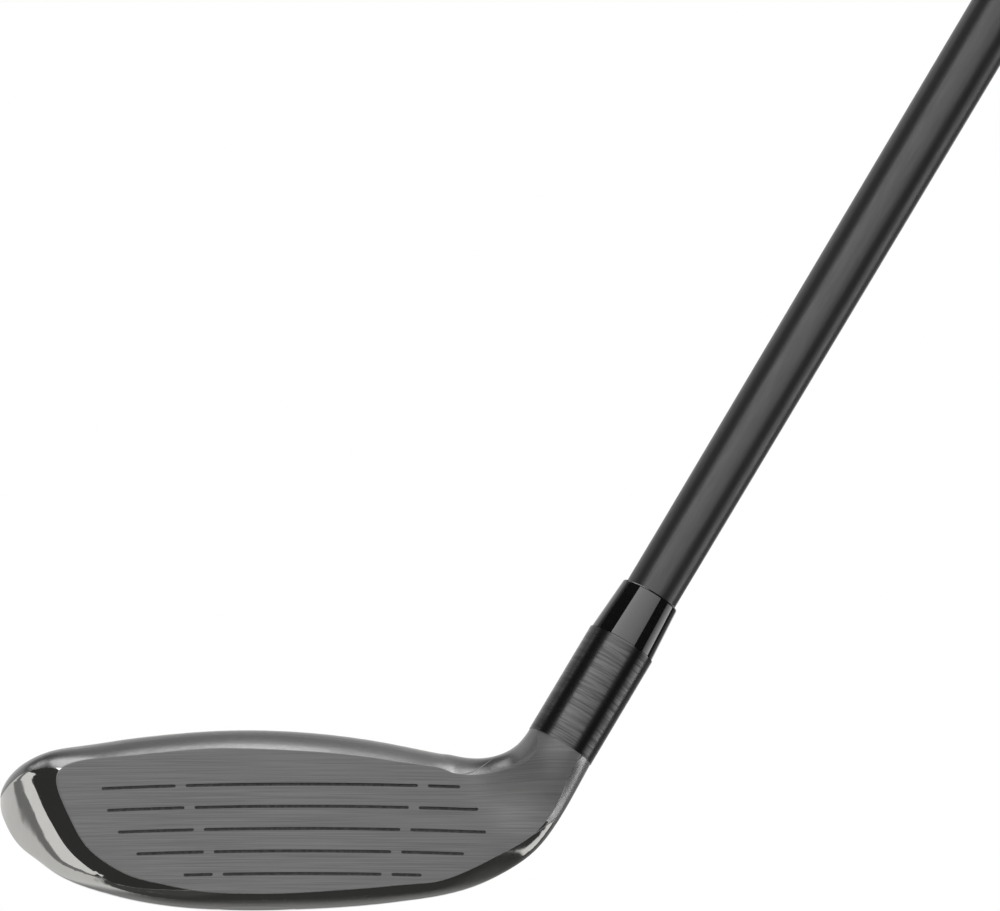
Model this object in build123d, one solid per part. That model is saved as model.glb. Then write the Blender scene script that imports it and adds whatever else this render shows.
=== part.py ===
from build123d import *
import os
from math import atan2, cos, hypot, pi, radians, sin, sqrt, tan

# Right-handed hybrid golf club at address, millimetres.
# +Z up, +X from toe to heel, -Y towards the target. The origin is the middle of the flat
# ground pad of the sole, and the shaft axis lies in the plane Y = 0.

# ---- head ----
toe_reach = 44.8           # sole middle to the toe tip
heel_reach = 33.0          # sole middle to where the sections start to turn up the neck
crown_height = 33.8
toe_height = 22.1          # height of the toe tip
toe_depth = 18.3           # how far behind the shaft line the toe tip lies
toe_rounding = 12.5        # length over which the toe closes
face_side_rounding = 15.9  # the same for its front
back_reach = 51.8          # shaft line to the back of the head
skirt_height = 18.0
nose_reach = 9.3           # shaft line to the foremost point of the sole
lie_angle = 59.5
loft_angle = 22.0
face_radius = 406.0        # bulge and roll
face_middle_x = 9.2
face_middle_z = 15.0
face_lead = 2.7            # face ahead of the shaft line, at the face middle
face_thickness = 2.2
wall = 1.8                 # cast body
crown_thickness = 1.0
pad_sink = 0.1             # how deep the ground pad is cut into the sole

# ---- score lines ----
score_rows = 5
score_pitch = 4.62         # along the face
score_width = 0.65
score_depth = 0.45
score_paint = 0.2
score_gap = 1.75           # between two dashes of a row
score_top = 8.05           # first row above the face middle, along the face

# ---- hosel ----
axis_x = 37.9              # where the shaft axis meets the ground
hosel_diameter = 12.7
neck_step = 0.1            # the neck is this much slimmer than the barrel, on the radius
neck_end = 33.8            # along the shaft axis, from the ground
hosel_end = 55.2
bore_depth = 23.5
bond_line = 0.15           # epoxy thickness on the radius

# ---- shaft, ferrule and grip ----
club_length = 1022.0       # 40.25 inch, ground to butt along the shaft axis
shaft_tip_diameter = 9.4   # 0.370 inch
shaft_waist_diameter = 9.75
shaft_butt_diameter = 15.24  # 0.600 inch
shaft_tip_bore = 4.8
shaft_butt_wall = 0.95
ferrule_length = 10.3
ferrule_base_diameter = 12.3
ferrule_top_diameter = 10.9
ferrule_fit = 0.05
joint_line = 0.1           # between the hosel and the ferrule
grip_length = 267.0
grip_mouth_wall = 1.9
grip_waist_diameter = 23.4   # where the butt flare starts
grip_flare_length = 50.0
grip_butt_diameter = 27.0
grip_cap_diameter = 28.6
grip_cap_thickness = 4.5
tape_thickness = 0.2
tape_inset = 2.0           # tape ends this far inside the grip's mouth
vent_diameter = 2.6
tip_weight_length = 22.0
tip_weight_flange = 1.6
tip_bore_length = 60.0     # the bore starts to widen here

# ---- toe weight ----
weight_inset = 7.6         # toe tip to the middle of the weight's outer face
weight_y = 24.0
weight_z = 13.3
weight_out = Vector(-0.576, 0.249, -0.779).normalized()   # the way the weight unscrews
weight_diameter = 12.0
weight_thickness = 4.0
weight_clearance = 0.25
screw_diameter = 6.0
screw_pitch = 1.0
screw_fit = 0.1
screw_reach = 6.0          # thread length in the boss
screw_head_diameter = 9.0
screw_head_height = 2.2
boss_wall = 2.4
boss_floor = 1.6
screw_sink = 0.3           # screw head below the weight's outer face
socket_size = 4.4          # across the corners of the key socket
socket_depth = 1.7

# ---- sole slot, inner weight and damping ----
slot_front = 6.4
slot_width = 3.0
slot_length = 52.0
slot_recess = 0.2
rear_weight_length = 30.0
rear_weight_depth = 10.0
rear_weight_height = 7.0
rear_weight_inset = 4.8    # back of the head to its rear side
rear_weight_bottom = 7.5
hot_melt_x = 6.0
hot_melt_y = 19.0
hot_melt_radius = 9.0
hot_melt_top = 6.2
seat_gap = 0.1

# ---- crown plate ----
crown_front = 13.0         # shaft line to the front edge of the plate
crown_rim = 5.0            # back of the head to the plate's edge
crown_ledge = 3.0          # width of the ledge that carries it
crown_gap = 0.1

lie = radians(lie_angle)
loft = radians(loft_angle)
hosel_radius = hosel_diameter / 2
bore_floor = hosel_end - bore_depth
shaft_start = bore_floor + tip_weight_flange
shaft_end = club_length - grip_cap_thickness
ferrule_end = hosel_end + ferrule_length
grip_start = club_length - grip_length
shaft_axis = Vector(cos(lie), 0, sin(lie))
face_middle = Vector(face_middle_x, -face_lead, face_middle_z)
face_normal = Vector(0, -cos(loft), sin(loft))
face_centre = face_middle - face_normal * face_radius
face_up = Vector(0, sin(loft), cos(loft))


def on_axis(distance):
    """Plane square to the shaft axis, at a distance from the ground."""
    origin = Vector(axis_x, 0, 0) + shaft_axis * distance
    return Plane(origin=origin, x_dir=(0, 1, 0), z_dir=shaft_axis)


# The neck's sections fan out round this point, from upright to square with the shaft axis.
ring_middle = Vector(axis_x, 0, 0) + shaft_axis * neck_end
fan_z = ring_middle.Z + (ring_middle.X - heel_reach) / tan(lie)
ring_height = fan_z - hypot(ring_middle.X - heel_reach, fan_z - ring_middle.Z)


# ---------------------------------------------------------------- curves of the head
def ease(f):
    f = min(1.0, max(0.0, f))
    return f * f * (3 - 2 * f)


def mix(a, b, f):
    return [u + (v - u) * f for u, v in zip(a, b)]


def through(points, x):
    """Smooth curve through a few (x, value) points, value at x."""
    x = min(max(x, points[0][0]), points[-1][0])
    i = max(k for k in range(len(points) - 1) if points[k][0] <= x)
    (x0, v0), (x1, v1) = points[i], points[i + 1]

    def slope(k):
        a, b = points[max(k - 1, 0)], points[min(k + 1, len(points) - 1)]
        return (b[1] - a[1]) / (b[0] - a[0])

    h = x1 - x0
    f = (x - x0) / h
    return (
        v0 * (1 + 2 * f) * (1 - f) ** 2 + v1 * f * f * (3 - 2 * f)
        + h * slope(i) * f * (1 - f) ** 2 - h * slope(i + 1) * f * f * (1 - f)
    )


def closing(x, length):
    """Ellipse law: 0 at the toe tip, rising to 1 over the length."""
    f = min(1.0, (x + toe_reach) / length)
    return sqrt(max(0.0, 1 - (1 - f) ** 2))


def section_shape(x):
    """Nose, crown, back and sole points of the upright section at x, as y and z in turn."""
    share = x / (toe_reach if x < 0 else heel_reach)
    to_toe = max(0.0, -share)
    to_heel = max(0.0, share)
    nose_y = nose_reach * through(
        [(-1, 0.55), (-0.9, 0.397), (-0.833, 0.232), (-0.759, 0.065), (-0.739, 0.012),
         (-0.699, -0.102), (-0.674, -0.177), (-0.6, -0.378), (-0.49, -0.568), (-0.22, -0.92),
         (0.1, -1.0), (0.55, -0.94), (1, -0.86)],
        share,
    )
    nose_z = toe_height * through(
        [(-1, 1.179), (-0.9, 1.125), (-0.833, 0.887), (-0.759, 0.619), (-0.674, 0.507),
         (-0.6, 0.482), (-0.49, 0.399), (-0.22, 0.215), (0.1, 0.153), (0.55, 0.204), (1, 0.317)],
        share,
    )
    crown_y = 11.2 + 3.0 * to_toe ** 2 - 0.8 * to_heel ** 2
    crown_z = crown_height * through(
        [(-1, 0.89), (-0.72, 0.915), (-0.42, 0.968), (-0.08, 1.0), (0.3, 0.988), (0.65, 0.945), (1, 0.876)],
        share,
    )
    back_y = back_reach * through(
        [(-1, 0.73), (-0.74, 0.83), (-0.45, 0.945), (-0.08, 1.0), (0.3, 0.975), (0.65, 0.88), (1, 0.685)],
        share,
    )
    back_z = skirt_height + 3.4 * to_toe ** 1.5
    sole_y = 11.6 * to_toe ** 2.4
    sole_z = 8.5 * min(1.0, to_toe / 0.83) ** 2.45 + 2.35 * to_heel ** 2.2 - pad_sink
    full = closing(x, toe_rounding)
    y = mix([toe_depth] * 3, [crown_y, back_y, sole_y], full)
    z = mix([toe_height] * 3, [nose_z, crown_z, back_z], full)
    nose_y = toe_depth + (nose_y - toe_depth) * closing(x, face_side_rounding)
    sole_z = toe_height + (sole_z - toe_height) * full ** 1.25
    return [nose_y, z[0], y[0], z[1], y[1], z[2], y[2], sole_z]


def section_handles(x):
    """Fullness of the quarter curves: sole to nose, nose to crown, crown to back, back to sole."""
    share = x / (toe_reach if x < 0 else heel_reach)
    ahead = through([(-1, 0.42), (-0.85, 0.29), (-0.7, 0.53), (-0.5, 0.95), (-0.3, 0.75), (1, 0.75)], share)
    rise = through([(-1, -0.02), (-0.85, 0.64), (-0.7, 0.48), (-0.5, 0.75), (-0.3, 0.45), (1, 0.45)], share)
    up = through(
        [(-1, 0.435), (-0.8, 0.634), (-0.7, 0.39), (-0.6, 0.434), (-0.4, 0.37), (0, 0.36), (0.5, 0.41), (1, 0.41)],
        share,
    )
    over = through(
        [(-1, 0.45), (-0.8, 0.597), (-0.7, 0.663), (-0.6, 0.456), (-0.4, 0.38), (0, 0.35), (1, 0.37)],
        share,
    )
    return [ahead, rise, up, over, 0.60, 0.45, 0.35, 0.22]


neck_handles = [0.20, 0.12, 0.30, 0.34, 0.55, 0.50, 0.45, 0.35]
ring_handles = [0.50, 0.12, 0.15, 0.45, 0.552, 0.552, 0.552, 0.552]
neck_radius = hosel_radius - neck_step
nose_proud = 2.0           # how far the loft stands ahead of the face before it is cut


def neck_shape(f):
    """Section shape and handles at the share f of the turn up the neck."""
    ring = [-neck_radius - nose_proud, ring_height, 0, ring_height + neck_radius,
            neck_radius, ring_height, 0, ring_height - neck_radius]
    start = section_shape(heel_reach)
    shape = mix(start, ring, ease(f))
    shape[0] = start[0] + (ring[0] - start[0]) * f + 2.6 * sin(pi * f)
    shape[2] = start[2] * (1 - f ** 2.2)
    shape[4] = ring[4] + (start[4] - ring[4]) * (1 - f) ** 1.8
    shape[6] = 2.5 * sin(pi * f)
    shape[7] = start[7] + (ring[7] - start[7]) * max(f, ease(f))
    if f < 0.3:
        return shape, mix(section_handles(heel_reach), neck_handles, ease(f / 0.3))
    return shape, mix(neck_handles, ring_handles, ease((f - 0.5) / 0.5))


def section_wire(x, turn, shape, handles, inset, along=0.0):
    """Closed smooth section, drawn in the plane that is turned about the fan's centre."""
    nose = (shape[0] + inset, shape[1])
    crown = (shape[2], shape[3] - inset)
    back = (shape[4] - inset, shape[5])
    sole = (shape[6], shape[7] + inset)
    h = handles
    quarters = [
        (sole, (sole[0] + (nose[0] - sole[0]) * h[0], sole[1]),
         (nose[0], nose[1] + (sole[1] - nose[1]) * h[1]), nose),
        (nose, (nose[0], nose[1] + (crown[1] - nose[1]) * h[2]),
         (crown[0] + (nose[0] - crown[0]) * h[3], crown[1]), crown),
        (crown, (crown[0] + (back[0] - crown[0]) * h[4], crown[1]),
         (back[0], back[1] + (crown[1] - back[1]) * h[5]), back),
        (back, (back[0], back[1] + (sole[1] - back[1]) * h[6]),
         (sole[0] + (back[0] - sole[0]) * h[7], sole[1]), sole),
    ]

    def placed(point):
        y, height = point
        radius = fan_z - height
        return Vector(x + radius * sin(turn) + along * cos(turn), y,
                      fan_z - radius * cos(turn) + along * sin(turn))

    return Wire([Edge.make_bezier(*[placed(point) for point in points]) for points in quarters])


def head_loft(inset=0.0, toe_share=0.998, fan_steps=6, fans=6):
    """Smooth body from the toe tip round the neck; fewer fans end it inside the heel."""
    stations = [-toe_share * toe_reach]
    stations += [-share * toe_reach for share in (0.985, 0.955, 0.91, 0.85, 0.78, 0.7, 0.61, 0.5, 0.36, 0.2)
                 if share < toe_share - 0.005]
    stations += [share * heel_reach for share in (-0.05, 0.2, 0.45, 0.7, 0.88, 1.0)]
    wires = [section_wire(x, 0, section_shape(x), section_handles(x), inset) for x in stations]
    for i in range(1, fans + 1):
        shape, handles = neck_shape(i / fan_steps)
        wires.append(section_wire(heel_reach, lie * i / fan_steps, shape, handles, inset))
    if fans == fan_steps:
        shape, handles = neck_shape(1)
        for along in (4, 8):
            wires.append(section_wire(heel_reach, lie, shape, handles, inset, along))
    return Solid.make_loft(wires)


# ---------------------------------------------------------------- face
def face_ball(depth=0.0):
    """Ball whose surface is the face, or lies the given depth behind it."""
    return Solid.make_sphere(face_radius - depth).locate(Location(face_centre))


def ramp_y(x, z):
    """Y of the face surface, which runs out of the sphere onto the front of the hosel."""
    flat = face_radius ** 2 - (x - face_centre.X) ** 2 - (z - face_centre.Z) ** 2
    sphere = face_centre.Y - sqrt(flat)
    if x <= heel_reach:
        return sphere
    turn = atan2(x - heel_reach, fan_z - z)
    across = fan_z - hypot(x - heel_reach, fan_z - z) - ring_height
    edge = 0.8 * neck_radius
    held = max(-edge, min(edge, across))
    barrel = -sqrt(neck_radius ** 2 - held ** 2) + 0.8 * abs(across - held)
    blend_start = radians(12)
    return sphere + (barrel - sphere) * ease((turn - blend_start) / (lie - blend_start))


def ramp_cutter(first_x=18.0, step=3.0, count=17):
    """Everything ahead of the face surface at the heel and neck."""
    low, high, ahead = -10.0, 46.0, -70.0
    wires = []
    for i in range(count):
        x = first_x + i * step
        heights = [low + (high - low) * k / 12 for k in range(13)]
        surface = [Vector(x, ramp_y(x, z), z) for z in heights]
        corners = [surface[-1], Vector(x, ahead, high), Vector(x, ahead, low), surface[0]]
        edges = [Edge.make_spline(surface)]
        edges += [Edge.make_line(a, b) for a, b in zip(corners, corners[1:])]
        wires.append(Wire(edges))
    return Solid.make_loft(wires)


weld_middle = face_middle + Vector(18.2, 0, 0)
weld_plane = Plane(origin=weld_middle, x_dir=(0, 1, 0), z_dir=Vector(1, 0, -0.372).normalized())


def beyond_weld():
    """Everything on the heel side of the line where the face plate is welded in."""
    return weld_plane * Box(300, 300, 300, align=(Align.CENTER, Align.CENTER, Align.MIN))


def score_dashes():
    """Dashes of each row as (row, from_x, to_x): toe, middle and heel dash."""
    rows = [(-26.4, -13.2, 29.8, 37.3), (-25.4, -11.6, 28.2, 40.5), (-23.4, -9.9, 26.7, 41.9),
            (-20.1, -8.1, 25.1, 38.0), (-11.7, -6.5, 23.4, 30.5)]
    dashes = []
    for row, (toe, middle_from, middle_to, heel) in enumerate(rows[:score_rows]):
        dashes.append((row, toe, middle_from))
        dashes.append((row, middle_from + score_gap, middle_to))
        dashes.append((row, middle_to + score_gap, heel))
    return dashes


def score_bars():
    """Round-ended bars through the face, one for each dash."""
    bars = []
    for row, start, end in score_dashes():
        height = score_top - row * score_pitch
        origin = face_middle + face_up * height + Vector((start + end) / 2 - face_middle_x, 0, 0)
        plane = Plane(origin=origin, x_dir=(1, 0, 0), z_dir=face_normal)
        outline = plane * SlotOverall(end - start, score_width)
        bars.append(extrude(outline, amount=12, both=True))
    return bars


def grooves_and_paint():
    """Cutting tools and paint of every dash, as (row, heel_dash, groove, paint)."""
    floor = face_ball(score_depth)
    level = face_ball(score_depth - score_paint)
    pieces = []
    for (row, _start, end), bar in zip(score_dashes(), score_bars()):
        heel_dash = end > weld_plane.origin.X + score_gap * 1.5
        pieces.append((row, heel_dash, bar - floor, (bar & level) - floor))
    return pieces


# ---------------------------------------------------------------- helpers
def round_bar(plane, diameter, top, bottom):
    """Cylinder along the plane's Z, between two distances from it."""
    bar = Cylinder(diameter / 2, top - bottom, align=(Align.CENTER, Align.CENTER, Align.MIN))
    return plane * Pos(0, 0, bottom) * bar


def turned(profile):
    """Round piece on the shaft axis from (radius, distance along the axis) corners."""
    corners = [(radius, 0, distance) for radius, distance in profile]
    face = make_face(Polyline(*corners, close=True))
    return on_axis(0) * revolve(face, Axis.Z)


def shaft_radius(distance):
    """Outer radius of the shaft: straight tip, ferrule step, then one long taper."""
    tip, waist, butt = shaft_tip_diameter / 2, shaft_waist_diameter / 2, shaft_butt_diameter / 2
    if distance <= hosel_end:
        return tip
    if distance <= ferrule_end:
        return tip + (waist - tip) * (distance - hosel_end) / ferrule_length
    return waist + (butt - waist) * (distance - ferrule_end) / (shaft_end - ferrule_end)


# ---------------------------------------------------------------- head
outer = head_loft()
skin = head_loft(inset=slot_recess, toe_share=0.98)
under_crown = head_loft(inset=crown_thickness, toe_share=0.955, fans=2)
inner = head_loft(inset=wall, toe_share=0.955, fans=3)
seat = head_loft(inset=wall + seat_gap, toe_share=0.95, fans=2)
heel_side = beyond_weld()
grooves = grooves_and_paint()
weight_plane = Plane(origin=(weight_inset - toe_reach, weight_y, weight_z), x_dir=(0, 1, 0),
                     z_dir=weight_out)


def below_ground():
    return Box(300, 300, 20, align=(Align.CENTER, Align.CENTER, Align.MAX))


def slot_bar():
    """The slot across the sole, behind the ground pad."""
    outline = Pos(0, slot_front + slot_width / 2) * SlotOverall(slot_length, slot_width)
    return Pos(0, 0, -3) * extrude(outline, amount=10)


def crown_stencil(margin):
    """Upright prism over the crown opening, its sides drawn in by the margin."""
    front = crown_front + margin
    rim = crown_rim + margin
    stations = [share * toe_reach for share in (-0.72, -0.62, -0.5, -0.36, -0.2, 0.0)]
    stations += [share * heel_reach for share in (0.22, 0.42, 0.6, 0.72)]
    back = [(x, section_shape(x)[4] - rim) for x in stations]
    start = (back[0][0] + margin, back[0][1] - margin)
    end = (back[-1][0] - margin, back[-1][1] - margin)
    outline = Spline(*[start, *back[1:-1], end])
    outline += Polyline(end, (end[0], front), (start[0], front), start)
    return Pos(0, 0, skirt_height + 2) * extrude(make_face(outline), amount=40)


def head_body():
    """Casting: shell, hosel, toe weight boss and the heel end of the face."""
    toe_side = (outer - heel_side) & face_ball(face_thickness)
    neck = (outer & heel_side) - ramp_cutter()
    neck -= on_axis(neck_end) * Box(90, 90, 60, align=(Align.CENTER, Align.CENTER, Align.MIN))
    neck += round_bar(on_axis(neck_end), hosel_diameter, hosel_end - neck_end, 0)
    body = toe_side + neck - below_ground()
    boss_depth = weight_thickness + screw_reach + boss_floor
    boss = round_bar(weight_plane, weight_diameter + 2 * boss_wall, 5, -boss_depth)
    body -= (inner - heel_side) - boss
    body -= inner & heel_side & face_ball(face_thickness)
    body -= round_bar(on_axis(hosel_end), shaft_tip_diameter + 2 * bond_line, 5, -bore_depth)
    body -= round_bar(weight_plane, weight_diameter + 2 * weight_clearance, 10, -weight_thickness)
    body -= round_bar(weight_plane, screw_diameter + 2 * screw_fit, 0, -weight_thickness - screw_reach)
    body -= crown_stencil(0) - under_crown
    body -= crown_stencil(crown_ledge)
    body -= slot_bar()
    for _row, heel_dash, groove, _paint in grooves:
        if heel_dash:
            body -= groove
    return body


def face_plate():
    plate = (outer - heel_side) & face_ball()
    plate -= face_ball(face_thickness)
    for _row, heel_dash, groove, _paint in grooves:
        if not heel_dash:
            plate -= groove
    return plate


def crown_plate():
    return (crown_stencil(crown_gap) & outer) - under_crown


def score_paint_row(number):
    return Compound([paint for row, _heel, _groove, paint in grooves if row == number])


def slot_insert():
    return (slot_bar() & skin) - inner


def toe_weight():
    puck = round_bar(weight_plane, weight_diameter, 0, -weight_thickness + seat_gap)
    puck -= round_bar(weight_plane, screw_diameter + 2 * screw_fit, 5, -20)
    head_hole = screw_head_diameter + 2 * weight_clearance
    return puck - round_bar(weight_plane, head_hole, 5, -screw_head_height - screw_sink)


def toe_weight_screw():
    head_seat = -screw_head_height - screw_sink
    screw = round_bar(weight_plane, screw_head_diameter, -screw_sink, head_seat)
    tip = -weight_thickness - screw_reach + seat_gap
    screw += round_bar(weight_plane, screw_diameter, head_seat, tip)
    socket = extrude(RegularPolygon(socket_size / 2, 6), amount=-socket_depth)
    return screw - weight_plane * Pos(0, 0, -screw_sink) * socket


def rear_weight():
    slab = Box(rear_weight_length, rear_weight_depth, rear_weight_height,
               align=(Align.CENTER, Align.MAX, Align.MIN))
    return seat & (Pos(0, back_reach - rear_weight_inset, rear_weight_bottom) * slab)


def hot_melt():
    """Pool of hot-melt glue on the inside of the sole, flat on top."""
    return seat & (Pos(hot_melt_x, hot_melt_y, hot_melt_top) * Cylinder(
        hot_melt_radius, 10, align=(Align.CENTER, Align.CENTER, Align.MAX)))


# ---------------------------------------------------------------- shaft and grip
def bond_epoxy():
    bore = shaft_tip_diameter / 2
    return turned([(bore, shaft_start), (bore + bond_line, shaft_start),
                   (bore + bond_line, hosel_end), (bore, hosel_end)])


def tip_weight():
    pin = shaft_tip_bore / 2 - seat_gap
    flange = shaft_tip_diameter / 2
    return turned([(0, bore_floor), (flange, bore_floor), (flange, shaft_start), (pin, shaft_start),
                   (pin, shaft_start + tip_weight_length), (0, shaft_start + tip_weight_length)])


def shaft():
    bore = shaft_tip_bore / 2
    butt_bore = shaft_butt_diameter / 2 - shaft_butt_wall
    return turned([(bore, shaft_start), (shaft_radius(hosel_end), shaft_start),
                   (shaft_radius(hosel_end), hosel_end), (shaft_radius(ferrule_end), ferrule_end),
                   (shaft_radius(shaft_end), shaft_end), (butt_bore, shaft_end),
                   (bore, shaft_start + tip_bore_length)])


def ferrule():
    start = hosel_end + joint_line
    ring = turned([(shaft_radius(start) + ferrule_fit, start), (ferrule_base_diameter / 2, start),
                   (ferrule_top_diameter / 2, ferrule_end), (shaft_radius(ferrule_end) + ferrule_fit, ferrule_end)])
    rim = ring.edges().filter_by(GeomType.CIRCLE).sort_by(lambda e: (round(e.center().Z, 3), e.radius))[-1]
    return fillet(rim, 0.4)


def grip_tape():
    start = grip_start + tape_inset
    return turned([(shaft_radius(start), start), (shaft_radius(start) + tape_thickness, start),
                   (shaft_radius(shaft_end) + tape_thickness, shaft_end), (shaft_radius(shaft_end), shaft_end)])


def grip_sleeve():
    start_bore = shaft_radius(grip_start) + tape_thickness
    end_bore = shaft_radius(shaft_end) + tape_thickness
    sleeve = turned([(start_bore, grip_start), (start_bore + grip_mouth_wall, grip_start),
                     (grip_waist_diameter / 2, shaft_end - grip_flare_length),
                     (grip_butt_diameter / 2, shaft_end), (end_bore, shaft_end)])
    mouth = sleeve.edges().filter_by(GeomType.CIRCLE).sort_by(lambda e: (round(e.center().Z, 3), -e.radius))[0]
    return fillet(mouth, 0.8)


def grip_cap():
    cap = round_bar(on_axis(shaft_end), grip_cap_diameter, grip_cap_thickness, 0)
    rims = cap.edges().filter_by(GeomType.CIRCLE).sort_by(lambda e: e.center().Z)
    cap = fillet(rims[-1], 1.8)
    return cap - round_bar(on_axis(shaft_end), vent_diameter, 10, -5)


pieces = {
    "head_body": head_body,
    "face_plate": face_plate,
    "crown_plate": crown_plate,
    "slot_insert": slot_insert,
    "toe_weight": toe_weight,
    "toe_weight_screw": toe_weight_screw,
    "rear_weight": rear_weight,
    "hot_melt": hot_melt,
    "bond_epoxy": bond_epoxy,
    "tip_weight": tip_weight,
    "shaft": shaft,
    "ferrule": ferrule,
    "grip_tape": grip_tape,
    "grip_sleeve": grip_sleeve,
    "grip_cap": grip_cap,
}

if __name__ == "__main__":
    os.makedirs("parts", exist_ok=True)
    for name, make in pieces.items():
        export_step(make(), f"parts/{name}.step")
    for number in range(score_rows):
        export_step(score_paint_row(number), f"parts/score_paint_{number + 1}.step")
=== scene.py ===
import math

import bpy
from mathutils import Matrix, Vector

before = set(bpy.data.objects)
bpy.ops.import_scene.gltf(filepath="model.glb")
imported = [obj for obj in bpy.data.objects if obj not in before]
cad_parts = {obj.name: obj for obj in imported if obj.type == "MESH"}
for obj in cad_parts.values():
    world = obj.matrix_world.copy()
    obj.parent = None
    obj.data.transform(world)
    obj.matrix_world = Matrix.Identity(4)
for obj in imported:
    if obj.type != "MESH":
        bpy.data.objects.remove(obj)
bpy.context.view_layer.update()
print("frame loaded:", len(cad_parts), "nodes")

# the club's own lines and places, in millimetres and degrees, which the finishes are laid out from
club = {
    "axisFoot": 37.9,        # where the shaft's axis meets the ground
    "lie": 59.5,
    "ringAt": 33.8,          # where the black hosel starts, measured up the axis
    "faceMiddle": (9.2, -2.7, 15.0),
    "loft": 22.0,
    "faceRadius": 406.0,
    "weightPlace": (-37.2, 24.0, 13.3),
    "weightOut": (-0.576, 0.249, -0.779),
}


def mm(value):
    return value / 1000


lie = math.radians(club["lie"])
loft = math.radians(club["loft"])
shaftAxis = Vector((math.cos(lie), 0, math.sin(lie)))
faceNormal = Vector((0, -math.cos(loft), math.sin(loft)))
faceCentre = mm(Vector(club["faceMiddle"]) - faceNormal * club["faceRadius"])

# where a pattern can be laid: the club's own axes, up the shaft, or out of the toe weight
places = {
    "club": (Vector((0, 0, 0)), Vector((0, 0, 1))),
    "shaft": (Vector((mm(club["axisFoot"]), 0, 0)), shaftAxis),
    "weight": (mm(Vector(club["weightPlace"])), Vector(club["weightOut"]).normalized()),
}

# settings that many nodes share
times = {"operation": "MULTIPLY"}
timesPlus = {"operation": "MULTIPLY_ADD"}
minus = {"operation": "SUBTRACT"}
larger = {"operation": "MAXIMUM"}
eased = {"interpolation_type": "SMOOTHSTEP"}


def toLinear(hexColour):
    channels = [int(hexColour[i:i + 2], 16) / 255 for i in (1, 3, 5)]
    linear = [c / 12.92 if c <= 0.04045 else ((c + 0.055) / 1.055) ** 2.4 for c in channels]
    return (*linear, 1.0)


def addNode(tree, kind, settings=None, links=None):
    # settings are the node's own fields or its sockets; links take a node or one of its outputs
    node = tree.nodes.new("ShaderNode" + kind)
    for key, value in (settings or {}).items():
        if isinstance(key, str) and hasattr(node, key):
            setattr(node, key, value)
        else:
            node.inputs[key].default_value = toLinear(value) if isinstance(value, str) else value
    for key, source in (links or {}).items():
        if isinstance(source, bpy.types.Node):
            source = next(out for out in source.outputs if out.enabled)
        tree.links.new(source, node.inputs[key])
    return node


def newMaterial(name):
    material = bpy.data.materials.new(name)
    material.use_nodes = True
    material.node_tree.nodes.clear()
    return material, material.node_tree


def dress(material, *nodeNames):
    for name in nodeNames:
        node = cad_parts[name]
        node.data.materials.clear()
        node.data.materials.append(material)


# the camera looks square at the club's front, from a little below the head
view = {
    "distance": 4.0,                  # metres
    "frameWidth": 178.0,              # millimetres of the club across the frame
    "elevation": -10.0,
    "target": (44.375, 0.0, 81.6),
    "sensor": 36.0,
    "clip": (0.05, 30.0),             # metres
}
tilt = math.radians(view["elevation"])
forward = Vector((0, math.cos(tilt), -math.sin(tilt)))
cameraData = bpy.data.cameras.new("camera")
cameraData.sensor_width = view["sensor"]
cameraData.lens = view["sensor"] * view["distance"] / mm(view["frameWidth"])
cameraData.clip_start, cameraData.clip_end = view["clip"]
camera = bpy.data.objects.new("camera", cameraData)
camera.location = mm(Vector(view["target"])) - forward * view["distance"]
camera.rotation_euler = forward.to_track_quat("-Z", "Y").to_euler()
bpy.context.scene.collection.objects.link(camera)
bpy.context.scene.camera = camera

# softboxes round the head, in degrees: azimuth 0 is the face's side and + is towards the heel;
# level is the brightness at a box's left edge, and fade times level that at its right edge
upright = Vector((0, 0, 1))
rearward = Vector((0, 1, 0))
softboxes = {
    "front": {"azimuth": 4.2, "elevation": 6.9, "wide": 89.6, "tall": 50, "along": shaftAxis,
              "level": 3.5, "fade": 0.44},
    "right": {"azimuth": 99.2, "elevation": -20.6, "wide": 32, "tall": 15, "along": shaftAxis,
              "level": 0.8, "fade": 4.6},
    "lowRight": {"azimuth": 122.4, "elevation": -30, "wide": 8, "tall": 15.5, "along": shaftAxis,
                 "level": 1.05, "fade": 1.0},
    "left": {"azimuth": -98.2, "elevation": 3.5, "wide": 16.5, "tall": 75, "along": upright,
             "level": 1.05, "fade": 1.0},
    "lowFront": {"azimuth": 10, "elevation": -36, "wide": 60, "tall": 26, "along": upright,
                 "level": 0.7, "fade": 1.0},
    "highLeft": {"azimuth": -117, "elevation": 51, "wide": 16, "tall": 12, "along": upright,
                 "level": 2.0, "fade": 1.0},
    "top": {"azimuth": -90, "elevation": 87.5, "wide": 51, "tall": 29, "along": rearward,
            "level": 3.6, "fade": 1.0},
    "topHeel": {"azimuth": 120, "elevation": 64, "wide": 26, "tall": 22, "along": rearward,
                "level": 3.2, "fade": 1.0},
}
lampDistance = 2.0                    # metres from lampAim
lampAim = Vector((0.02, 0, 0.03))


def direction(azimuth, elevation):
    a, e = math.radians(azimuth), math.radians(elevation)
    return Vector((math.sin(a) * math.cos(e), -math.cos(a) * math.cos(e), math.sin(e)))


def metresAcross(degrees):
    return 2 * lampDistance * math.tan(math.radians(degrees / 2))


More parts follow.
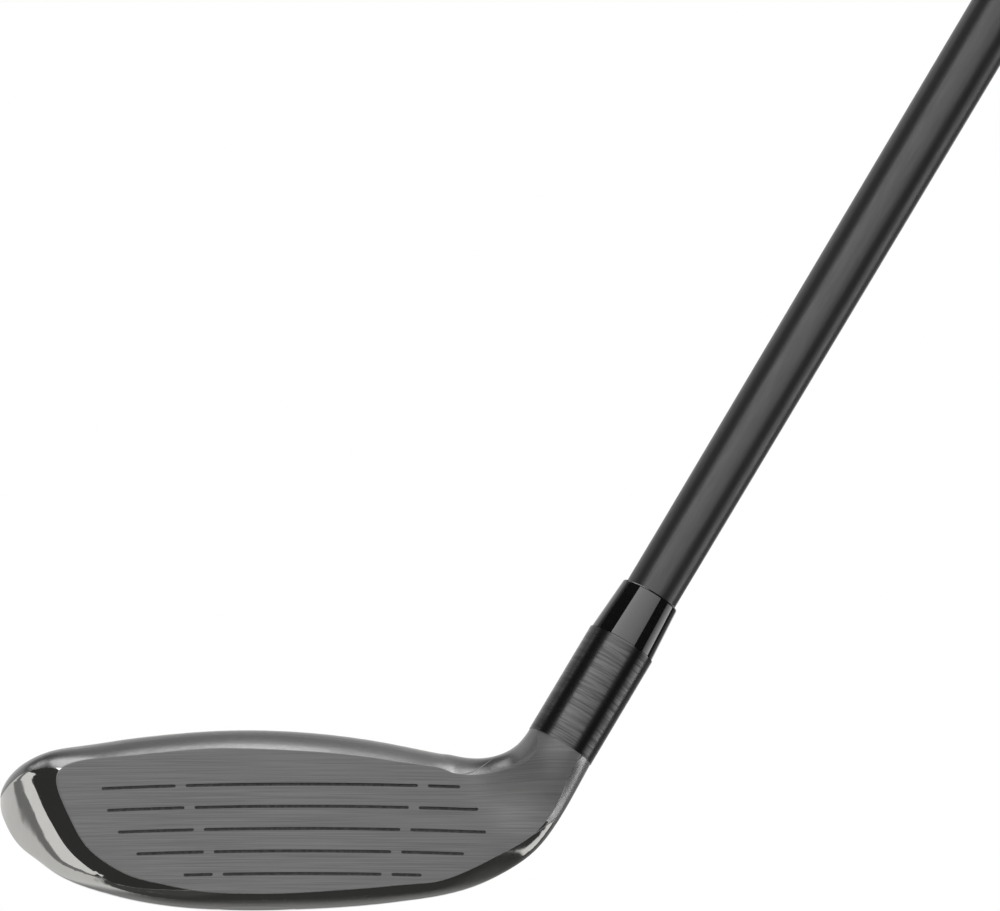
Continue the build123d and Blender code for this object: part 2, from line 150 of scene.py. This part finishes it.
for name, box in softboxes.items():
    away = direction(box["azimuth"], box["elevation"])
    up = (box["along"] - away * box["along"].dot(away)).normalized()
    data = bpy.data.lights.new(name, "AREA")
    data.shape = "RECTANGLE"
    data.size = metresAcross(box["wide"])
    data.size_y = metresAcross(box["tall"])
    data.energy = box["level"] * data.size * data.size_y * math.pi
    data.use_nodes = True
    tree = data.node_tree
    spread = addNode(tree, "NewGeometry")
    across = addNode(tree, "SeparateXYZ", links={"Vector": spread.outputs["Parametric"]})
    fade = addNode(tree, "MapRange", {"To Min": 1.0, "To Max": box["fade"]}, {"Value": across.outputs["X"]})
    tree.links.new(fade.outputs["Result"], tree.nodes["Emission"].inputs["Strength"])
    lamp = bpy.data.objects.new(name, data)
    turn = Matrix((up.cross(away), up, away)).transposed()
    lamp.matrix_world = Matrix.Translation(lampAim + away * lampDistance) @ turn.to_4x4()
    lamp.visible_camera = False
    bpy.context.scene.collection.objects.link(lamp)

# world: a white backdrop behind the club, bright round to its left, and a dim room in front.
# Each band eases from its third value to its fourth while the direction goes from its first to
# its second, in degrees up from level or round from the front
room = {
    "backdrop": 0.95, "left": 0.88,
    "fill": 0.3,                                 # what lights matt surfaces
    "up": {
        "horizon": (-5, 1, 0.27, 1.0),           # backdrop below the horizon,
        "floorward": (-45, -14, 0.22, 1.0),      # down to the floor
        "upward": (17, 75, 1.0, 0.55),           # and overhead
        "leftLow": (-41, -36, 0.1, 1.0),         # bottom and top of the bright left side
        "leftHigh": (36, 42, 1.0, 0.25),
    },
    "round": {
        "leftward": (-172, -150, 0.0, 1.0),      # the backdrop turns into the bright left side,
        "pastGap": (-114, -112, 1.0, 0.0),       # which ends at a grey gap
        "gapEnd": (-107.3, -106.7, 0.26, 0.05),  # the gap's level, then the dim front's
        "rightBack": (123, 139, 0.0, 1.0),       # and on the right the backdrop starts again
    },
}
world = bpy.data.worlds.new("studio")
bpy.context.scene.world = world
world.use_nodes = True
tree = world.node_tree
tree.nodes.clear()
gaze = addNode(tree, "TexCoord").outputs["Generated"]
split = addNode(tree, "SeparateXYZ", links={"Vector": gaze})
ahead = addNode(tree, "Math", {**times, 1: -1.0}, {0: split.outputs["Y"]})
turned = addNode(tree, "Math", {"operation": "ARCTAN2"}, {0: split.outputs["X"], 1: ahead})
azimuth = addNode(tree, "Math", {"operation": "DEGREES"}, {0: turned})
raised = addNode(tree, "Math", {"operation": "ARCSINE"}, {0: split.outputs["Z"]})
elevation = addNode(tree, "Math", {"operation": "DEGREES"}, {0: raised})
bands = {}
for angle, group in ((elevation, room["up"]), (azimuth, room["round"])):
    for name, (start, end, first, last) in group.items():
        bands[name] = addNode(tree, "MapRange", {
            **eased, "From Min": start, "From Max": end, "To Min": first, "To Max": last}, {"Value": angle})
backDim = addNode(tree, "Math", times, {0: bands["horizon"], 1: bands["floorward"]})
backDim = addNode(tree, "Math", times, {0: backDim, 1: bands["upward"]})
backLevel = addNode(tree, "Math", {**times, 1: room["backdrop"]}, {0: backDim})
leftDim = addNode(tree, "Math", times, {0: bands["leftLow"], 1: bands["leftHigh"]})
leftLevel = addNode(tree, "Math", {**times, 1: room["left"]}, {0: leftDim})
rearLevel = addNode(tree, "Mix", links={"Factor": bands["leftward"], 2: backLevel, 3: leftLevel})
leftHalf = addNode(tree, "Mix", links={"Factor": bands["pastGap"], 2: bands["gapEnd"], 3: rearLevel})
glossLevel = addNode(tree, "Mix", links={"Factor": bands["rightBack"], 2: leftHalf, 3: backLevel})
rays = addNode(tree, "LightPath")
shiny = addNode(tree, "Math", larger, {
    0: rays.outputs["Is Glossy Ray"], 1: rays.outputs["Is Transmission Ray"]})
level = addNode(tree, "Mix", {2: room["fill"]}, {"Factor": shiny, 3: glossLevel})
level = addNode(tree, "Mix", {3: 1.0}, {"Factor": rays.outputs["Is Camera Ray"], 2: level})
background = addNode(tree, "Background", {"Color": "#ffffff"}, {"Strength": level})
addNode(tree, "OutputWorld", links={"Surface": background})
print("camera, lamps and world set:", len(softboxes), "softboxes")

# pale floor sheet, in metres. It is open to rays from below, to the lamps and to reflections, and
# gives way to the backdrop between the two fade distances from the head
sheet = {"half": 3.0, "under": 0.0002, "fade": (0.7, 1.4), "colour": "#f0f0ee"}
half = sheet["half"]
floorMesh = bpy.data.meshes.new("floor")
floorMesh.from_pydata([(-half, -half, 0), (half, -half, 0), (half, half, 0), (-half, half, 0)],
                      [], [(0, 1, 2, 3)])
floor = bpy.data.objects.new("floor", floorMesh)
bpy.context.scene.collection.objects.link(floor)
floor.location.z = -sheet["under"]
material, tree = newMaterial("paleFloor")
rays = addNode(tree, "LightPath")
openTo = addNode(tree, "Math", larger, {
    0: rays.outputs["Is Shadow Ray"], 1: rays.outputs["Is Glossy Ray"]})
facing = addNode(tree, "NewGeometry")
openTo = addNode(tree, "Math", larger, {0: openTo, 1: facing.outputs["Backfacing"]})
reach = addNode(tree, "VectorMath", {"operation": "LENGTH"}, {0: facing.outputs["Position"]})
near, far = sheet["fade"]
farOff = addNode(tree, "MapRange", {**eased, "From Min": near, "From Max": far}, {"Value": reach})
openTo = addNode(tree, "Math", larger, {0: openTo, 1: farOff})
paper = addNode(tree, "BsdfDiffuse", {"Color": sheet["colour"]})
clear = addNode(tree, "BsdfTransparent")
surface = addNode(tree, "MixShader", links={0: openTo, 1: paper, 2: clear})
addNode(tree, "OutputMaterial", links={"Surface": surface})
floorMesh.materials.append(material)
print("floor laid")


def laidPoint(tree, place):
    # object coordinates turned so that z runs along the place's own axis
    foot, axis = places[place]
    rotation = axis.to_track_quat("Z", "Y").to_euler()
    coordinates = addNode(tree, "TexCoord")
    return addNode(tree, "Mapping", {"vector_type": "TEXTURE", "Location": foot, "Rotation": rotation},
                   {"Vector": coordinates.outputs["Object"]})


def marks(tree, point, size):
    # noise whose blobs measure size millimetres along x, y and z; 0 leaves an axis out
    perMetre = [1000 / s if s else 0.0 for s in size]
    stretched = addNode(tree, "VectorMath", {**times, 1: perMetre}, {0: point})
    noise = addNode(tree, "TexNoise", {"Scale": 1.0, "Detail": 3.0, "Roughness": 0.6}, {"Vector": stretched})
    return addNode(tree, "MapRange", {**eased, "From Min": 0.3, "From Max": 0.7}, {"Value": noise})


# cast stainless steel head, in millimetres. Polished skirt: mirror with faint smudges. Crown: fine
# blasted satin. Heel side: the same, dressed smooth, and painted lighter as a highlight where it faces
# the heel. Face and neck: level brush lines.
# Hosel: black nickel, turned, with streaks round it. Grit, brush lines and turning marks are .1 or
# less on such surfaces and are drawn at about .3 so that they show
head = {
    "finishes": {
        "polished": {"colours": ("#b8b7b4", "#bcbbb8"), "roughness": (0.05, 0.07), "lay": "club",
                     "marks": (5, 5, 5), "depth": 0.0, "metallic": 1.0},
        "satin": {"colours": ("#666666", "#6e6e6e"), "roughness": (0.21, 0.25), "lay": "club",
                  "marks": (0.3, 0.3, 0.3), "depth": 0.0004, "metallic": 1.0},
        # lighter than the satin: a painted highlight on the side that faces the heel
        "heelSideWithSheen": {"colours": ("#989898", "#a2a2a2"), "roughness": (0.24, 0.28), "lay": "shaft",
                     "marks": (1.2, 1.2, 20), "depth": 0.0, "metallic": 1.0},
        # half metallic, because open brush lines scatter light as a matt grey does
        "brushed": {"colours": ("#565656", "#646464"), "roughness": (0.5, 0.6), "lay": "club",
                    "marks": (22, 0, 0.26), "depth": 0.004, "metallic": 0.5},
        "hosel": {"colours": ("#363636", "#4a4a4a"), "roughness": (0.22, 0.3), "lay": "shaft",
                  "marks": (8, 8, 0.4), "depth": 0.001, "metallic": 1.0},
    },
    "soft": 0.05,                  # half the width of the edges between finishes
    "faceBand": (0.05, 0.12),      # brushing ends this far off the face's own sphere
    "neckFrom": 16.0,
    "neckTurn": (0.69, 0.73),      # how squarely the neck faces front where its brushing ends,
    "neckLean": -0.1,              # which is further round towards the toe
    "partingTop": 26.2,            # top of the polished skirt at the toe,
    "partingSlope": 0.1205,        # falling from slopeFrom to the heel
    "slopeFrom": -35.5,
    "tipFrom": -38.0,
    "tipDrop": 0.083,              # and curving down round the tip, per millimetre squared
    "crownTurn": (0.56, 0.6),      # what faces up more than this has the crown's finish
    "heelSideFrom": (40.0, 52.0),
    "heelSideTurn": (0.0, 0.3),    # how far the heel side faces away from the toe
}


def castSteel():
    material, tree = newMaterial("castStainlessSteel")
    place = addNode(tree, "TexCoord")
    point = place.outputs["Object"]
    axes = addNode(tree, "SeparateXYZ", links={"Vector": point})
    normal = addNode(tree, "SeparateXYZ", links={"Vector": place.outputs["Normal"]})
    soft = mm(head["soft"])

    # face: everything within a hair of the face's own sphere
    reach = addNode(tree, "VectorMath", {"operation": "DISTANCE", 1: faceCentre}, {0: point})
    offFace = addNode(tree, "Math", {**minus, 1: mm(club["faceRadius"])}, {0: reach})
    offFace = addNode(tree, "Math", {"operation": "ABSOLUTE"}, {0: offFace})
    near, far = head["faceBand"]
    onFace = addNode(tree, "MapRange", {
        **eased, "From Min": mm(near), "From Max": mm(far), "To Min": 1.0, "To Max": 0.0}, {"Value": offFace})
    # neck: the heel side of the face, where it still faces front
    ahead = addNode(tree, "Math", {**times, 1: -1.0}, {0: normal.outputs["Y"]})
    turn = addNode(tree, "Math", {**timesPlus, 1: head["neckLean"]}, {0: normal.outputs["X"], 2: ahead})
    low, high = head["neckTurn"]
    frontal = addNode(tree, "MapRange", {**eased, "From Min": low, "From Max": high}, {"Value": turn})
    pastFace = addNode(tree, "Math", {"operation": "GREATER_THAN", 1: mm(head["neckFrom"])},
                       {0: axes.outputs["X"]})
    onNeck = addNode(tree, "Math", times, {0: frontal, 1: pastFace})
    onBrushed = addNode(tree, "Math", larger, {0: onFace, 1: onNeck})
    # hosel: above the ring, up the shaft's axis
    upAxis = addNode(tree, "SeparateXYZ", links={"Vector": laidPoint(tree, "shaft")})
    ring = mm(club["ringAt"])
    onHosel = addNode(tree, "MapRange", {**eased, "From Min": ring - soft, "From Max": ring + soft},
                      {"Value": upAxis.outputs["Z"]})
    # crown: above a line that falls from toe to heel and round the tip, and all that faces up
    fromToe = addNode(tree, "Math", {**minus, 1: mm(head["slopeFrom"])}, {0: axes.outputs["X"]})
    fromToe = addNode(tree, "Math", {**larger, 1: 0.0}, {0: fromToe})
    raised = addNode(tree, "Math", {**timesPlus, 1: head["partingSlope"]}, {0: fromToe, 2: axes.outputs["Z"]})
    tip = addNode(tree, "Math", {**minus, 0: mm(head["tipFrom"])}, {1: axes.outputs["X"]})
    tip = addNode(tree, "Math", {**larger, 1: 0.0}, {0: tip})
    tip = addNode(tree, "Math", times, {0: tip, 1: tip})
    raised = addNode(tree, "Math", {**timesPlus, 1: head["tipDrop"] * 1000}, {0: tip, 2: raised})
    parting = mm(head["partingTop"])
    aboveParting = addNode(tree, "MapRange", {
        **eased, "From Min": parting - soft, "From Max": parting + soft}, {"Value": raised})
    low, high = head["crownTurn"]
    facingUp = addNode(tree, "MapRange", {**eased, "From Min": low, "From Max": high},
                       {"Value": normal.outputs["Z"]})
    onCrown = addNode(tree, "Math", larger, {0: aboveParting, 1: facingUp})
    # heel side: what of the crown's finish runs down beside the neck facing the heel, painted lighter as a
    # highlight
    low, high = head["heelSideTurn"]
    outward = addNode(tree, "MapRange", {**eased, "From Min": low, "From Max": high},
                      {"Value": normal.outputs["X"]})
    start, end = head["heelSideFrom"]
    pastHeel = addNode(tree, "MapRange", {**eased, "From Min": mm(start), "From Max": mm(end)},
                       {"Value": axes.outputs["X"]})
    onHeelSideWithSheen = addNode(tree, "Math", times, {0: outward, 1: pastHeel})
    onHeelSideWithSheen = addNode(tree, "Math", times, {0: onHeelSideWithSheen, 1: onCrown})

    # each finish covers the ones before it where its mask is 1
    masks = {"polished": None, "satin": onCrown, "heelSideWithSheen": onHeelSideWithSheen,
             "brushed": onBrushed, "hosel": onHosel}
    blends = {}
    for name, mask in masks.items():
        finish = head["finishes"][name]
        pattern = marks(tree, laidPoint(tree, finish["lay"]), finish["marks"])
        dark, light = finish["colours"]
        smooth, rough = finish["roughness"]
        ends = {"shade": (dark, light), "dull": (rough, smooth), "relief": (0.0, mm(finish["depth"])),
                "metal": (finish["metallic"], finish["metallic"])}
        for kind, (low, high) in ends.items():
            first, dataType = (6, "RGBA") if kind == "shade" else (2, "FLOAT")
            look = addNode(tree, "Mix", {"data_type": dataType, first: low, first + 1: high},
                           {"Factor": pattern})
            if mask:
                look = addNode(tree, "Mix", {"data_type": dataType},
                               {"Factor": mask, first: blends[kind], first + 1: look})
            blends[kind] = look
    relief = addNode(tree, "Bump", {"Distance": 1.0}, {"Height": blends["relief"]})
    shader = addNode(tree, "BsdfPrincipled", links={
        "Base Color": blends["shade"], "Roughness": blends["dull"], "Metallic": blends["metal"],
        "Normal": relief})
    addNode(tree, "OutputMaterial", links={"Surface": shader})
    return material


dress(castSteel(), "head_body", "face_plate", "crown_plate")
print("head dressed:", len(head["finishes"]), "finishes")

# every other piece moves between two shades and two roughnesses with its own marks.
# Marks are millimetres along x, y and z of the place they are laid on; rings measures them
# outwards from the axis and up it instead, which is how a lathe leaves them. Lathe rings and
# grain finer than .3 are drawn at .3 to .5 so that they show
finishes = {
    # the score paint is real fill, and near-black so that it also carries painted shade in the grooves
    "scorePaintAndShade": {                       # matt paint filled into the grooves
        "nodes": ["score_paint_%d" % line for line in range(1, 6)],
        "colours": ("#191919", "#282828"), "roughness": (0.6, 0.8), "marks": (0.6, 0.6, 0.6), "depth": 0.01},
    "satinShaftPaint": {                  # sprayed satin black over carbon: soft broad glow
        "nodes": ["shaft"], "lay": "shaft",
        "colours": ("#131313", "#1a1a1a"), "roughness": (0.3, 0.36), "marks": (0.7, 0.7, 6), "depth": 0.002},
    "glossAbs": {                         # turned ferrule wiped with acetone: black mirror
        "nodes": ["ferrule"], "lay": "shaft", "rings": True, "IOR": 1.6,
        "colours": ("#030303", "#060606"), "roughness": (0.04, 0.06), "marks": (2, 0, 0.5), "depth": 0.0003},
    "turnedSteel": {                      # lathe rings that catch the light
        "nodes": ["toe_weight"], "lay": "weight", "rings": True, "Metallic": 1.0,
        "colours": ("#8a8a88", "#b6b6b3"), "roughness": (0.2, 0.32),
        "marks": (0.35, 0, 0.35), "depth": 0.006},
    "blackOxideSteel": {                  # dull blue-black screw, slightly oily
        "nodes": ["toe_weight_screw"], "lay": "weight", "rings": True, "Metallic": 1.0,
        "colours": ("#1b1c1f", "#2f3034"), "roughness": (0.3, 0.45), "marks": (0.4, 0, 0.4), "depth": 0.004},
    "mouldedUrethane": {                  # soft matt slot filler with a fine spark-eroded grain
        "nodes": ["slot_insert"],
        "colours": ("#17181a", "#232427"), "roughness": (0.5, 0.65), "marks": (0.4, 0.4, 0.4), "depth": 0.02},
    "sinteredTungsten": {                 # grey, heavy, faintly grainy
        "nodes": ["rear_weight"], "Metallic": 1.0,
        "colours": ("#5d5f60", "#7c7e7e"), "roughness": (0.4, 0.55), "marks": (0.3, 0.3, 0.3), "depth": 0.01},
    "hotMeltGlue": {                      # amber, waxy, flowed
        "nodes": ["hot_melt"],
        "colours": ("#b08f4c", "#cdb272"), "roughness": (0.3, 0.45), "marks": (4, 4, 4), "depth": 0.1},
    "curedEpoxy": {                       # thin grey-green glue line
        "nodes": ["bond_epoxy"], "lay": "shaft",
        "colours": ("#77796a", "#8f9180"), "roughness": (0.25, 0.4), "marks": (1.5, 1.5, 3), "depth": 0.02},
    "turnedBrass": {                      # warm yellow plug with lathe rings
        "nodes": ["tip_weight"], "lay": "shaft", "rings": True, "Metallic": 1.0,
        "colours": ("#a8894d", "#c9aa68"), "roughness": (0.22, 0.34), "marks": (0.4, 0, 0.4), "depth": 0.005},
    "capRubber": {                        # harder moulded cap, faint rings round the vent
        "nodes": ["grip_cap"], "lay": "shaft", "rings": True, "IOR": 1.52,
        "colours": ("#131313", "#202020"), "roughness": (0.5, 0.62), "marks": (0.9, 0, 0.9), "depth": 0.04},
    "crepedTape": {                       # two-sided paper tape, creped across its length
        "nodes": ["grip_tape"], "lay": "shaft",
        "colours": ("#b9ab8d", "#d2c6aa"), "roughness": (0.75, 0.9), "marks": (3, 3, 0.8), "depth": 0.05},
}


def dressPiece(name, finish):
    material, tree = newMaterial(name)
    point = laidPoint(tree, finish.get("lay", "club"))
    if finish.get("rings"):
        flat = addNode(tree, "VectorMath", {**times, 1: (1, 1, 0)}, {0: point})
        radius = addNode(tree, "VectorMath", {"operation": "LENGTH"}, {0: flat})
        height = addNode(tree, "SeparateXYZ", links={"Vector": point})
        point = addNode(tree, "CombineXYZ", links={"X": radius, "Z": height.outputs["Z"]})
    pattern = marks(tree, point, finish["marks"])
    dark, light = finish["colours"]
    smooth, rough = finish["roughness"]
    shade = addNode(tree, "Mix", {"data_type": "RGBA", 6: dark, 7: light}, {"Factor": pattern})
    dull = addNode(tree, "MapRange", {"To Min": rough, "To Max": smooth}, {"Value": pattern})
    relief = addNode(tree, "Bump", {"Distance": mm(finish["depth"])}, {"Height": pattern})
    settings = {key: finish[key] for key in ("Metallic", "IOR") if key in finish}
    shader = addNode(tree, "BsdfPrincipled", settings,
                     {"Base Color": shade, "Roughness": dull, "Normal": relief})
    addNode(tree, "OutputMaterial", links={"Surface": shader})
    dress(material, *finish["nodes"])


for name, finish in finishes.items():
    dressPiece(name, finish)
print("pieces dressed:", len(finishes), "finishes")

# grip: moulded rubber, matt black, with a shallow diamond tread that reads as fine texture; its grooves are
# painted darker as painted shade
grip = {
    "colours": ("#101010", "#242424"), "roughness": (0.62, 0.8), "IOR": 1.52,
    "diamondsRound": 16, "diamondHeight": 5.0, "grooveShare": 0.16, "grooveDepth": 0.25,
    "grain": 0.5, "grainDepth": 0.02,
}


def gripRubber():
    material, tree = newMaterial("mouldedGripRubber")
    point = laidPoint(tree, "shaft")
    axes = addNode(tree, "SeparateXYZ", links={"Vector": point})
    angle = addNode(tree, "Math", {"operation": "ARCTAN2"}, {0: axes.outputs["Y"], 1: axes.outputs["X"]})
    perTurn = grip["diamondsRound"] / math.tau
    rows = addNode(tree, "Math", {"operation": "DIVIDE", 1: mm(grip["diamondHeight"])},
                   {0: axes.outputs["Z"]})
    ridges = []
    for lean in (perTurn, -perTurn):
        slant = addNode(tree, "Math", {**timesPlus, 1: lean}, {0: angle, 2: rows})
        wave = addNode(tree, "Math", {"operation": "PINGPONG", 1: 0.5}, {0: slant})
        ridges.append(addNode(tree, "MapRange", {**eased, "From Max": grip["grooveShare"]}, {"Value": wave}))
    treadAndGrooveShade = addNode(tree, "Math", {"operation": "MINIMUM"}, {0: ridges[0], 1: ridges[1]})
    grain = marks(tree, point, (grip["grain"],) * 3)
    dark, light = grip["colours"]
    # the grooves take the darker colour as painted shade; the tread takes the lighter black
    shade = addNode(tree, "Mix", {"data_type": "RGBA", 6: dark, 7: light}, {"Factor": treadAndGrooveShade})
    smooth, rough = grip["roughness"]
    dull = addNode(tree, "MapRange", {"To Min": smooth, "To Max": rough}, {"Value": grain})
    fine = addNode(tree, "Bump", {"Distance": mm(grip["grainDepth"])}, {"Height": grain})
    relief = addNode(tree, "Bump", {"Distance": mm(grip["grooveDepth"])}, {"Height": treadAndGrooveShade, "Normal": fine})
    shader = addNode(tree, "BsdfPrincipled", {"IOR": grip["IOR"]},
                     {"Base Color": shade, "Roughness": dull, "Normal": relief})
    addNode(tree, "OutputMaterial", links={"Surface": shader})
    return material


dress(gripRubber(), "grip_sleeve")
print("grip dressed")

bpy.context.scene.view_settings.view_transform = "Standard"
